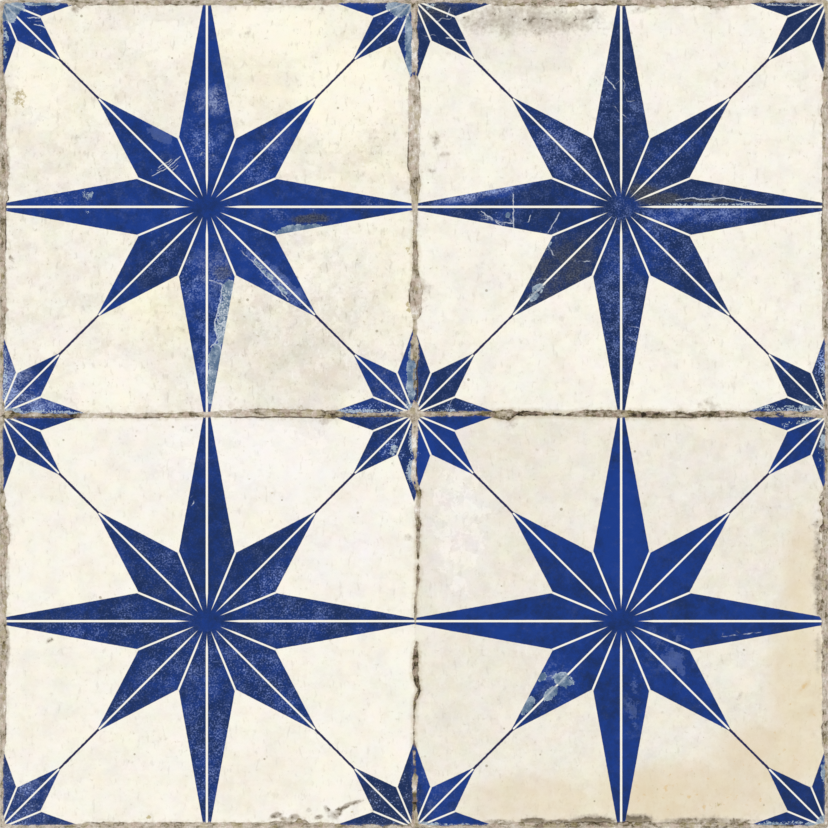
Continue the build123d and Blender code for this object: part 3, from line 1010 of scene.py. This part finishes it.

# %% [markdown]
# ## Dirt and painted shade in the joint
#
# The pressed joint has filled with mortar and dirt. One value, the grime, runs from pale mortar to
# black, and the colours are mixed along it. The noise is drawn out along the joint, because water
# and brooms move dirt that way. A brown band beside the joint and a dark line along one of its edges
# are partly dirt and partly painted shade.

# %% Colour the joint
upright = attribute("upright")
directions = {0: upright, 4: (0.3, 1.0, 1.0), 5: (1.0, 0.3, 1.0)}
run = upright.node("ShaderNodeMix", {"data_type": "VECTOR"}, directions, 1)
crumb = place.vector("MULTIPLY", place, run).noise(2.0, 5.0, 0.75)
dirt = attribute("dirt")
grime = dirt + (crumb - 0.5) * 2.3 + plate * 0.32 + (lump - 0.5) * 0.8 + grain * 0.05
mortar = grime.ramp(-0.3, 0.3).mix(paint_colour(244, 240, 232), paint_colour(198, 187, 171))
mortar = grime.ramp(0.3, 0.55).over(mortar, 168, 157, 139)
mortar = grime.ramp(0.55, 0.8).over(mortar, 108, 97, 72)
mortar = grime.ramp(0.8, 1.1).over(mortar, 44, 36, 24)
mortar = (stain.ramp(0.1, 0.4) * 0.3).over(mortar, 204, 178, 164)
mortar = (stain.ramp(-0.2, -0.5) * 0.35).over(mortar, 172, 158, 108)
painted = (attribute("paint") * 1.4 + (crumb - 0.5) * 1.2 + plate * 0.5).ramp(0.42, 0.58)
mortar = painted.mix(mortar, surface)
edge_gap = attribute("edge_gap")
joint_area = (edge_gap + (crumb - 0.5) * 1.5 + grain * 0.1).ramp(0.3, -0.35)
# a soft brown band beside the joint, only where there is dirt: partly dirt, partly painted shade at the
# groove's edge
halo_dirt_and_shade = edge_gap.ramp(2.6, -0.2) * (dirt + (lump - 0.5) * 2.0).ramp(0.1, 1.2) * (1.0 - blue_area)
surface = (halo_dirt_and_shade * 0.6).over(surface, 190, 172, 138)
surface = joint_area.mix(surface, mortar)
# a dark line along one edge of the joint: partly dirt, partly painted shade under that edge
line_reach = abs(attribute("line_gap") + (crumb - 0.5) * 1.2)
dark_line_dirt_and_shade = line_reach.ramp(0.6, 0.1) * (attribute("line") + (lump - 0.5) * 1.6).ramp(0.2, 0.8)
surface = (dark_line_dirt_and_shade * 0.9).over(surface, 70, 54, 34)
print("with the joint:", len(tree.nodes), "nodes")

# %% [markdown]
# ## Gloss
#
# The glaze is a worn satin, and the joint and the chips are dull. The shape of the joint is in the
# mesh, so the bump only adds grains that are finer than its cells.

# %% Gloss and fine relief of the face
roughness = 0.32 + joint_area * 0.5 + chip * blue_area * 0.2 + cloud * 0.01
height = lump * 0.15 + crumb * edge_gap.ramp(0.3, -0.3) * 1.5
grit = {"Strength": 0.5, "Distance": 0.15 * METRES, "Height": height}
bump = height.node("ShaderNodeBump", None, grit)
shader.inputs["Specular IOR Level"].default_value = 0.2
tree.links.new(surface.socket, shader.inputs["Base Color"])
tree.links.new(roughness.socket, shader.inputs["Roughness"])
tree.links.new(bump.socket, shader.inputs["Normal"])
print("glazed face:", len(tree.nodes), "nodes")

# %% [markdown]
# ## The bare clay
#
# Sides and back carry no glaze. Pressed clay fires to a pale buff with darker specks, and a little
# glaze and mortar run over the top of the sides.

# %% Build the bare clay
bare_clay, tree, shader, place = new_material("bare_clay")
axes = place.node("ShaderNodeSeparateXYZ", None, {0: place})
clay_height = Term(tree, axes.socket.node.outputs["Z"])
cloud = place.noise(24.0, 4.0, 0.6)
speck = place.noise(1.2, 2.0, 0.6)
clay = cloud.ramp(0.3, 0.7).mix(paint_colour(214, 196, 168), paint_colour(198, 176, 144))
clay = speck.ramp(0.66, 0.76).over(clay, 140, 116, 88)
overrun = (clay_height + (place.noise(5.0, 3.0, 0.6) - 0.5) * 5.0).ramp(7.6, 8.6)
clay = overrun.over(clay, 206, 198, 180)
grit = {"Strength": 0.6, "Distance": 0.2 * METRES, "Height": speck + cloud}
bump = speck.node("ShaderNodeBump", None, grit)
clay_roughness = 0.85 - overrun * 0.3
tree.links.new(clay.socket, shader.inputs["Base Color"])
tree.links.new(clay_roughness.socket, shader.inputs["Roughness"])
tree.links.new(bump.socket, shader.inputs["Normal"])
print("bare clay:", len(tree.nodes), "nodes")

# %% [markdown]
# ## On the frame
#
# The finished mesh takes the place of the plain solid. It rides on the only body of the frame, so
# it lies where the solid lies.

# %% Hang the tile on the frame
worn_tile = bpy.data.objects.new("worn_tile", tile_mesh)
bpy.context.scene.collection.objects.link(worn_tile)
tile_mesh.materials.append(glazed_face)
tile_mesh.materials.append(bare_clay)
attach(worn_tile, "root")
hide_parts("tile")
print("materials on the tile:", ", ".join(m.name for m in tile_mesh.materials))

# %% [markdown]
# ## The studio
#
# The tile lies on a plain pale floor and the camera looks straight down on it. Four soft suns stand
# round it at half height, so that the floor is as bright far away as near the tile. The sky is dim,
# so that the face shows its own colours and not a pale reflection of what hangs over it.

# %% Floor
floor_reach = 40.0  # in metres, so that its edge is never seen
floor_drop = 0.2
floor_mesh = bpy.data.meshes.new("studio_floor")
bm = bmesh.new()
bmesh.ops.create_grid(bm, x_segments=1, y_segments=1, size=floor_reach)
bmesh.ops.translate(bm, verts=bm.verts, vec=(0, 0, -floor_drop * METRES))
bm.to_mesh(floor_mesh)
bm.free()
floor = bpy.data.objects.new("studio_floor", floor_mesh)
bpy.context.scene.collection.objects.link(floor)
floor_material, tree, shader, place = new_material("studio_floor")
shader.inputs["Base Color"].default_value = paint_colour(236, 234, 230)
shader.inputs["Roughness"].default_value = 0.9
floor_mesh.materials.append(floor_material)
print("floor:", floor_drop, "mm under the tile")

# %% Sky and suns
sky_strength = 0.2
sun_strength = 0.89
sun_width = math.radians(30)
sun_height = math.radians(45)
sun_shares = (1.05, 1.15, 0.95, 0.85)  # foot, right, top, left: the joint gets a lit side
world = bpy.data.worlds.new("studio")
bpy.context.scene.world = world
world.use_nodes = True
sky = world.node_tree.nodes["Background"]
sky.inputs["Color"].default_value = (1.0, 1.0, 1.0, 1.0)
sky.inputs["Strength"].default_value = sky_strength
for quarter, share in enumerate(sun_shares):
    sun_data = bpy.data.lights.new(f"soft_sun_{quarter}", "SUN")
    sun_data.energy = sun_strength * share
    sun_data.angle = sun_width
    sun = bpy.data.objects.new(f"soft_sun_{quarter}", sun_data)
    sun.rotation_euler = (math.pi / 2 - sun_height, 0.0, quarter * math.pi / 2)
    bpy.context.scene.collection.objects.link(sun)
print("suns:", len(sun_shares), "round the tile, and a dim sky")

# %% Camera
lens = 120.0
frame_width = 2 * half_side - 0.3  # the picture holds the face from edge to edge
camera_data = bpy.data.cameras.new("camera")
camera_data.lens = lens
camera = bpy.data.objects.new("camera", camera_data)
camera_distance = frame_width * lens / camera_data.sensor_width * METRES
camera.location = (0, 0, face_height * METRES + camera_distance)
bpy.context.scene.collection.objects.link(camera)
bpy.context.scene.camera = camera
bpy.context.scene.view_settings.view_transform = "Standard"
print("camera:", round(camera_distance, 3), "m above the face")
